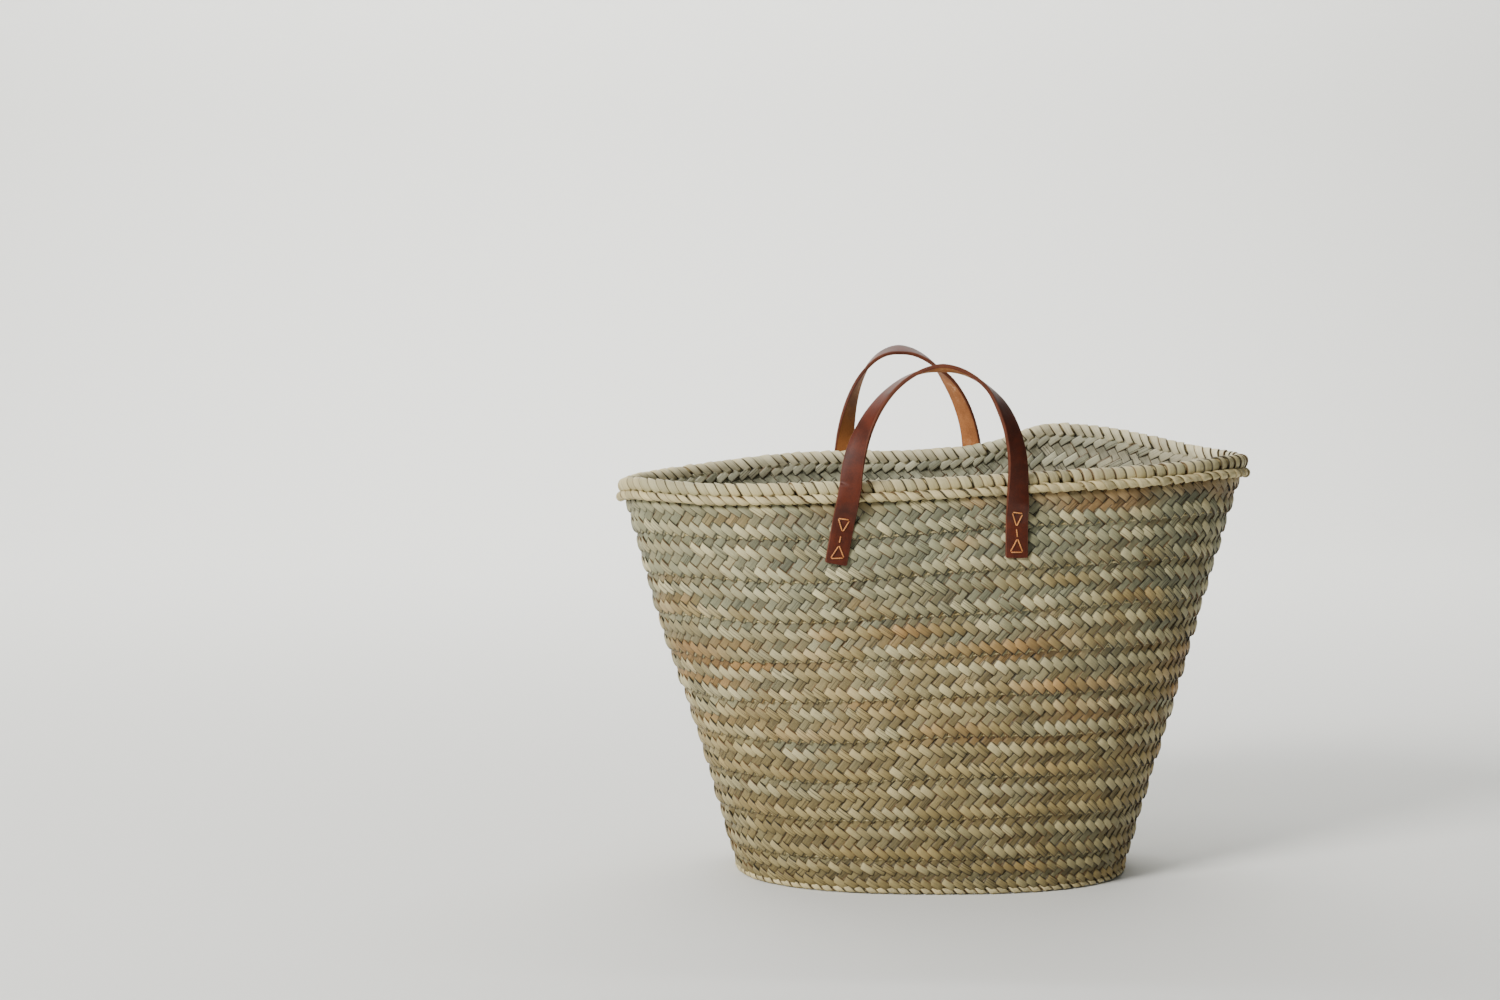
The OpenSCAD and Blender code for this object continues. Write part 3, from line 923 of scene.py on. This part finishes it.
def smooth_line(knots, t):
    """Points of a smooth line through knots at shares t of its run, straight beyond its ends."""
    knots = np.array(knots, float)
    run = run_along(knots)
    run /= run[-1]
    slopes = np.gradient(knots, run, axis=0)
    t = np.asarray(t, float)
    i = np.clip(np.searchsorted(run, t, side="right") - 1, 0, len(run) - 2)
    gap = run[i + 1] - run[i]
    x = ((t - run[i]) / gap)[..., None]
    gap = gap[..., None]
    low, high = knots[i], knots[i + 1]
    bend = (2 * x ** 3 - 3 * x ** 2 + 1) * low + (x ** 3 - 2 * x ** 2 + x) * gap * slopes[i] \
        + (3 * x ** 2 - 2 * x ** 3) * high + (x ** 3 - x ** 2) * gap * slopes[i + 1]
    before = low + (t - run[i])[..., None] * slopes[i]
    after = high + (t - run[i + 1])[..., None] * slopes[i + 1]
    return np.where(x < 0, before, np.where(x > 1, after, bend))


def rim_place(u, t):
    top = wall_ring(1.0)
    phi = even_turns(u + RIM_CURL * RIM_PITCH / ring_length(top) * (t - t * t), top)
    _, rise, out = wall_axes(phi, 1.0)
    spot = smooth_line(RIM_SECTION, t) * MM
    step = smooth_line(RIM_SECTION, t + NUDGE) - smooth_line(RIM_SECTION, t - NUDGE)
    point = top(phi) + out * spot[..., :1] + rise * spot[..., 1:]
    way = unit(out * step[..., 1:] - rise * step[..., :1])
    return point - way * RIM_SINK, way


def make_rim():
    length = ring_length(wall_ring(1.0))
    make_wound("rim_wrapping", "rim_wrap", LEAF["rim"], rim_place, length, RIM_TURN, RIM_PITCH,
        {"Travel": -1.8, "Thickness": 1.7 * MM, "Shingle": 0.50 * MM, "Wander": 1.1, "Seed": 301,
        "Leaf Width": 7.4 * MM})
    welt = tube_place(1.0, WELT_OUT, WELT_UP, WELT_R)
    make_wound("welt_winding", "rim_welt_cord", LEAF["cord"], welt, length, WELT_TURN,
        8.8 * MM,
        {"Travel": 1.9, "Thickness": 1.8 * MM, "Shingle": 0.70 * MM, "Wander": 1.4, "Seed": 302,
        "Leaf Width": 6.8 * MM})


BASE_CORD_OUT = 0.1 * MM
BASE_CORD_Z = 3.1 * MM
BASE_CORD_R = 1.85 * MM
BASE_CORD_TURN = 12.2 * MM
BASE_INSET = 3.1 * MM
BASE_Z = 1.95 * MM
CENTRE_W = 29 * MM  # half width of the middle strip, from its edge to the fold
CENTRE_FIT = 0.92  # fewer leaves in the middle strip than along its edge
FLAT = np.array([1.0, 1.0, 0.0])
UP = np.array([0.0, 0.0, 1.0])


def base_edge_place(u, t):
    phi = even_turns(u, wall_ring(0.0))
    flat = unit(wall_axes(phi, 0.0)[2] * FLAT)
    angle = np.radians(180 - 360 * t)
    c, d = np.cos(angle)[..., None], np.sin(angle)[..., None]
    centre = wall(phi, 0.0) * FLAT + flat * BASE_CORD_OUT + UP * BASE_CORD_Z
    way = flat * c + UP * d
    return centre + way * BASE_CORD_R, way


def base_outline(phi, inset):
    x, y = oval(phi, BASE_HALF[0] - BASE_INSET - inset, BASE_HALF[1] - BASE_INSET - inset)
    return np.stack([x, y, np.full_like(x, BASE_Z)], -1)


def base_ring(inset):
    return lambda phi: base_outline(phi, inset)


def fold_line(phi):
    """The middle strip closes along a line on the basket's long axis."""
    return base_outline(phi, 2 * PLAIT_W) * np.array([0.70, 0.02, 1.0])


def flat_place(middle, outer, inner):
    """Points across a flat strip, from its outer line to its inner one, facing the floor."""
    def place(u, v):
        phi = even_turns(u, middle)
        points = outer(phi) * (1 - v[..., None]) + inner(phi) * v[..., None]
        return points, np.broadcast_to(-UP, points.shape)
    return place


def make_base():
    jobs = []
    for k, inset in ((2, 0.0), (1, PLAIT_W)):
        middle = base_ring(inset + PLAIT_W / 2)
        place = flat_place(middle, base_ring(inset), base_ring(inset + PLAIT_W))
        jobs.append((f"woven_base_{k}", f"base_plait_round_{k}", place, ring_length(middle),
            PLAIT_W, 20 + k))
    edge = base_ring(2 * PLAIT_W)
    jobs.append(("woven_base_centre", "base_plait_centre", flat_place(edge, edge, fold_line),
        ring_length(edge) * CENTRE_FIT, CENTRE_W, 20))
    for name, node, place, length, height, seed in jobs:
        guide = guide_object("guide_" + name, place, v_steps=(-0.14, 1.14, 15))
        grow_piece(name, node, guide, PLAIT, {
            "Strands": round(length / LEAF_PITCH), "Steps": 20, "Rows": float(ROWS), "Crowd": 0.5,
            "Start": -0.05, "End": ROWS + 0.05, "Pitch": LEAF_PITCH, "Row Height": height / ROWS,
            "Leaf Width": 6.5 * MM, "Thickness": 1.0 * MM, "Swing": 0.45 * MM, "Relief": 0.25 * MM,
            "Tuck": 0.3 * MM, "Shingle": 0.10 * MM, "Wander": 0.8, "Round": float(seed), "Seed": 500 + seed,
            "Rise": 0.9, "Fall": 1.1, "Material": LEAF["base"],
        })
    make_wound("base_edge_winding", "base_edge_cord", LEAF["cord"], base_edge_place,
        ring_length(wall_ring(0.0)), BASE_CORD_TURN, 8.5 * MM,
        {"Travel": 1.3, "Thickness": 1.5 * MM, "Shingle": 0.22 * MM, "Wander": 0.7, "Seed": 303,
        "Leaf Width": 5.9 * MM, "Steps": 12})


def path_object(points, edges):
    mesh = bpy.data.meshes.new("path")
    mesh.from_pydata([tuple(p) for p in points], edges, [])
    return new_object("path", mesh)


JOINT_CORD_DROP = 1.175 * MM  # the joining cord runs just under the joint
FILLING_OUT = -0.2 * MM  # the rim's filling, from the top of the wall
FILLING_UP = 4.3 * MM


def make_inner_cords():
    phi = np.linspace(0, 2 * np.pi, 361)[:-1]
    edges = [(i, (i + 1) % len(phi)) for i in range(len(phi))]
    for k in range(1, ROUNDS):
        s = joint_share(k)
        path = path_object(wall(phi, s) - wall_axes(phi, s)[1] * JOINT_CORD_DROP, edges)
        grow_piece(f"joining_cord_{k:02d}", f"seam_cord_{k:02d}", path, CORD, {
            "Radius": 0.90 * MM, "Step": 2.4 * MM, "Lay": 7 * MM, "Sides": 6, "Ply Depth": 0.2,
            "Material": PALM_CORD})
    _, rise, out = wall_axes(phi, 1.0)
    path = path_object(wall(phi, 1.0) + out * FILLING_OUT + rise * FILLING_UP, edges)
    grow_piece("rim_filling", "rim_core", path, CORD, {
        "Radius": 2.8 * MM, "Step": 2.4 * MM, "Lay": 30 * MM, "Sides": 12, "Ply Depth": 0.1,
        "Material": PALM_CORD})


# ---- the straps

ARCH_Z = 318 * MM
STRAP_W = 17 * MM
STRAP_T = 3 * MM
BACKING_T = 2 * MM
STRAP_GAP = 0.35 * MM
STRAP_CORNER = 0.75 * MM
STRAP_ROUND = 1.4 * MM  # rounding of a strap's cut ends
STRAP_OUT = WALL_HALF_T + STRAP_GAP + STRAP_T / 2
TAB_W = STRAP_W + 1 * MM
TAB_FOOT = 255 * MM
TAB_TOP = 301 * MM
TAB_OUT = -(WALL_HALF_T + STRAP_GAP + BACKING_T / 2 + 0.5 * MM)
TAB_CORNER = 0.6 * MM
TAB_ROUND = 2.5 * MM
PULL_FROM = 288 * MM  # a leg leaves the wall from here and is over its hinge by there
PULL_TO = 304 * MM
TURN_FROM = 296 * MM
LEG_SLANT = 0.18  # the front left leg leans out as it goes down
LEG_STEP = 2.2 * MM
CUT_RINGS = np.array([0, 0.35, 0.9, 1.7]) * MM
HANDLES = {
    "front": {"way": -1, "span": 63 * MM, "top": 406 * MM, "middle": -6 * MM,
    "lean": 5 * MM, "lean_power": 1, "axis_y": 106.5 * MM, "axis_z": 331 * MM,
    "ends": (257 * MM, 262 * MM),
    "turns": [(0, 12), (16, 30), (28, 50), (41, 66), (55, 80), (90, 107), (125, 84), (139, 60),
    (152, 46), (165, 34), (180, 22)]},
    "back": {"way": 1, "span": 54 * MM, "top": 412 * MM, "middle": -12 * MM,
    "lean": -8 * MM, "lean_power": 2, "axis_y": 109.5 * MM, "axis_z": 337 * MM,
    "ends": (258 * MM, 258 * MM),
    "turns": [(0, 10), (17, 38), (30, 56), (44, 72), (58, 88), (90, 109), (122, 90), (134, 66),
    (150, 50), (165, 40), (180, 24)]},
}


def wall_y(x, z, back):
    """Distance of the wall's middle from the long axis at x and z."""
    def share(top):
        return (z - WALL_FOOT) / (top - ROLL_H - WALL_FOOT)

    def across(s):
        return half_d(s) * (1 - np.abs(x / half_l(s)) ** PLAN_POWER) ** (1 / PLAN_POWER)
    s0 = share(RIM_HEIGHT)
    phi = np.arctan2(across(s0) / half_d(s0), x / half_l(s0))
    s = share(rim_z(phi if back else -phi))
    return across(s) + (LOBE_SPREAD * lobe(phi) * s * s if back else 0)


def strap_ends():
    for label, hand in HANDLES.items():
        for side, word in ((-1, "left"), (1, "right")):
            yield f"{label}_{word}", hand, side


def square_to(tangent, faces):
    return unit(faces - tangent * (faces * tangent).sum(-1, keepdims=True))


def leg_point(hand, side, z, depth):
    """Where a strap's leg is along and across the basket, depth outside the middle of the wall."""
    slant = LEG_SLANT if hand["way"] < 0 and side < 0 else 0.0
    x = hand["middle"] + side * hand["span"] - slant * np.maximum(0, ARCH_Z - z)
    return x, wall_y(x, z, hand["way"] > 0) + depth


SMOOTHING = 25  # degrees, nearly half on either side of a knot


def smooth_value(at, places, values):
    """Values between knots, smoothed over a few degrees so that the strap turns evenly."""
    fine = np.linspace(places[0], places[-1], 361)
    raw = np.pad(np.interp(fine, places, values), SMOOTHING // 2, mode="edge")
    kernel = np.hanning(SMOOTHING)
    return np.interp(at, fine, np.convolve(raw, kernel / kernel.sum(), mode="valid"))


def strap_leg(hand, side):
    end = hand["ends"][max(side, 0)]
    heights = np.concatenate([end + CUT_RINGS, np.arange(end + 2 * CUT_RINGS[-1], ARCH_Z, LEG_STEP)])
    x, flat = leg_point(hand, side, heights, STRAP_OUT)
    y = flat + (hand["axis_y"] - flat) * ease(heights, PULL_FROM, PULL_TO)
    first_turn = hand["turns"][min(-side, 0)][1]
    turn = np.radians(first_turn * ease(heights, TURN_FROM, ARCH_Z))[:, None]
    face = np.cos(turn) * np.array([0.0, hand["way"], 0.0]) + np.sin(turn) * np.array([side, 0.0, 0.0])
    return np.stack([x, hand["way"] * y, heights], -1), face


def strap_line(hand):
    """Middle line of a whole strap with the way its grain faces and the way across."""
    way = hand["way"]
    (left, left_face), (right, right_face) = [strap_leg(hand, side) for side in (-1, 1)]
    t = np.linspace(0, 180, 121)
    knots = np.array(hand["turns"], float)
    turn = np.radians(smooth_value(t, knots[:, 0], knots[:, 1]))[:, None]
    t = np.radians(t)
    lean = hand["lean"] * np.sin(t) ** hand["lean_power"]
    arch = np.stack([hand["middle"] + lean - hand["span"] * np.cos(t),
        np.full_like(t, way * hand["axis_y"]),
        ARCH_Z + (hand["top"] - ARCH_Z) * np.sin(t)], -1)
    tangent = unit(np.gradient(arch, axis=0))
    radial = np.stack([-tangent[:, 2], np.zeros_like(t), tangent[:, 0]], -1)
    face = np.cos(turn) * np.array([0.0, way, 0.0]) + np.sin(turn) * radial
    points = np.concatenate([left, arch, right[::-1]])
    faces = np.concatenate([left_face, face, right_face[::-1]])
    tangent = unit(np.gradient(points, axis=0))
    faces = square_to(tangent, faces)
    return points, faces, np.cross(tangent, faces)


def hide_section(width, thick, corner, middles=3):
    """Rounded outline of a strip of hide: (across, out) points, and what each edge between two
    points is: grain, flesh or side."""
    points, kinds = [], []
    corners = ((1, 1, "grain"), (-1, 1, None), (-1, -1, "flesh"), (1, -1, None))
    for number, (sx, sy, flat) in enumerate(corners):
        for step in range(4):
            angle = math.radians(90 * number + 30 * step)
            points.append((sx * (width / 2 - corner) + corner * math.cos(angle),
                sy * (thick / 2 - corner) + corner * math.sin(angle)))
            kinds.append("side")
        if flat:
            kinds[-1] = flat
            for m in range(1, middles + 1):
                points.append((sx * (width / 2 - corner) * (1 - 2 * m / (middles + 1)), sy * thick / 2))
                kinds.append(flat)
    return np.array(points), kinds


DISH = 0.022  # how far a strip's sides curl, as a share of its thickness


def hide_strip(name, line, faces, across, width, thick, corner, round_ends, materials):
    """A strip of hide along a line, with its corners rounded where it ends."""
    section, kinds = hide_section(width, thick, corner)
    length = run_along(line)
    near_end = np.minimum(length, length[-1] - length)
    cut = np.clip(1 - near_end / round_ends, 0, 1)
    narrow = 1 - (round_ends / (width / 2)) * (1 - np.sqrt(np.maximum(0, 1 - cut ** 2)))
    side = section[:, 0][None, :, None] * narrow[:, None, None]
    dish = -DISH * (2 * section[:, 0] / width) ** 2 * thick
    depth = (section[:, 1] + dish)[None, :, None]
    points = line[:, None, :] + side * across[:, None, :] + depth * faces[:, None, :]
    count, around = len(line), len(section)
    quads = grid_faces(count, around, closed=True)
    caps = [tuple(range(around))[::-1], tuple((count - 1) * around + i for i in range(around))]
    mesh = mesh_from(name, points.reshape(-1, 3), quads + caps)
    strap = np.empty((count, around, 3), np.float32)
    strap[..., 0] = length[:, None]
    strap[..., 1] = (2 * section[:, 0] / width)[None, :]
    strap[..., 2] = (2 * section[:, 1] / thick)[None, :]
    mesh.attributes.new("strap", "FLOAT_VECTOR", "POINT").data.foreach_set("vector", strap.ravel())
    for material in materials.values():
        mesh.materials.append(material)
    order = list(materials)
    slots = [order.index(kinds[i % around]) for i in range(len(quads))] + [order.index("side")] * 2
    mesh.polygons.foreach_set("material_index", slots)
    mesh.shade_smooth()
    flip_if_inside_out(mesh)
    return new_object(name, mesh)


def flip_if_inside_out(mesh):
    """Turns all faces round when they look into the solid."""
    volume = 0.0
    for face in mesh.polygons:
        corners = [mesh.vertices[i].co for i in face.vertices]
        for i in range(1, len(corners) - 1):
            volume += corners[0].dot(corners[i].cross(corners[i + 1]))
    if volume < 0:
        mesh.flip_normals()


def make_straps():
    for label, hand in HANDLES.items():
        name = label + "_strap"
        piece = hide_strip(name, *strap_line(hand), STRAP_W, STRAP_T, STRAP_CORNER, STRAP_ROUND,
            {"grain": GRAIN, "flesh": FLESH, "side": EDGE})
        nodes = [f"{name}_left_end", f"{name}_right_end", f"{name}_loop"]
        finish_piece(piece, name, nodes, body=None)
        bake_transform(piece)


def make_backings():
    z = np.concatenate([TAB_FOOT + CUT_RINGS, np.linspace(TAB_FOOT + 3.5 * MM, TAB_TOP - 3.5 * MM, 20),
        TAB_TOP - CUT_RINGS[::-1]])
    for name, hand, side in strap_ends():
        x, y = leg_point(hand, side, z, TAB_OUT)
        line = np.stack([x, hand["way"] * y, z], -1)
        tangent = unit(np.gradient(line, axis=0))
        inward = square_to(tangent, np.tile([0.0, -float(hand["way"]), 0.0], (len(line), 1)))
        piece = hide_strip(name + "_tab", line, inward, np.cross(tangent, inward), TAB_W, BACKING_T,
            TAB_CORNER, TAB_ROUND, {"grain": BACKING, "flesh": FLESH, "side": EDGE})
        finish_piece(piece, name + "_tab", [name + "_backing"])


# The lacing's holes as (across, height) in mm, and the runs of thread between them
HOLES_FOOT = 257
HOLES = [(-4.4, 291.8), (4.2, 291.2), (0.2, 281.0), (0.0, 278.8), (0.1, 273.2), (0.0, 271.4), (-5.2, 261.8),
    (4.9, 261.3)]
RUNS = [(0, 1), (1, 2), (2, 0), (3, 4), (5, 6), (6, 7), (7, 5)]
THREAD_R = 0.48 * MM
THREAD_DIP = -1.1  # a run starts this deep in its hole, in mm, and rises by THREAD_LIFT
THREAD_LIFT = 1.75
HOLE_PLAY = 0.4 * MM


def thread_paths(hand, side):
    """Paths of the lacing: on the strap outside and on the tab inside, each run diving in at its
    holes, and the thread through each hole."""
    outside = STRAP_OUT + STRAP_T / 2
    inside = TAB_OUT - BACKING_T / 2
    points, edges = [], []
    raise_by = hand["ends"][max(side, 0)] / MM - HOLES_FOOT
    drift = 2.0 * side + 0.9 * hand["way"]
    holes = [(dx + 0.45 * math.sin(5.1 * i + drift), z + raise_by + 0.5 * math.sin(3.7 * i + 2 * drift))
        for i, (dx, z) in enumerate(HOLES)]

    def spot(dx, height, depth):
        z = height * MM
        x, y = leg_point(hand, side, z, depth)
        if depth > 0:
            y = y + (hand["axis_y"] - leg_point(hand, side, z, STRAP_OUT)[1]) * ease(z, PULL_FROM, PULL_TO)
        return x + dx * MM, hand["way"] * y, z

    def chain(spots):
        first = len(points)
        points.extend(spots)
        edges.extend((first + i, first + i + 1) for i in range(len(spots) - 1))

    for surface, sign in ((outside, 1), (inside, -1)):
        for a, b in RUNS:
            spots = []
            for t in np.linspace(0, 1, 9):
                dx = holes[a][0] * (1 - t) + holes[b][0] * t
                z = holes[a][1] * (1 - t) + holes[b][1] * t
                lift = THREAD_DIP + THREAD_LIFT * math.sin(math.pi * t) ** 0.35
                spots.append(spot(dx, z, surface + sign * lift * MM))
            chain(spots)
    for dx, z in holes:
        chain([spot(dx, z, d) for d in np.linspace(inside + HOLE_PLAY, outside - HOLE_PLAY, 4)])
    return points, edges


def make_stitching():
    for name, hand, side in strap_ends():
        grow_piece(name + "_lacing", name + "_stitching",
            path_object(*thread_paths(hand, side)), CORD,
            {"Radius": THREAD_R, "Step": 0.45 * MM, "Lay": 3.2 * MM, "Sides": 10, "Ply Depth": 0.22,
            "Material": THREAD})


make_body()
make_base()
make_rim()
make_inner_cords()
make_straps()
make_backings()
make_stitching()
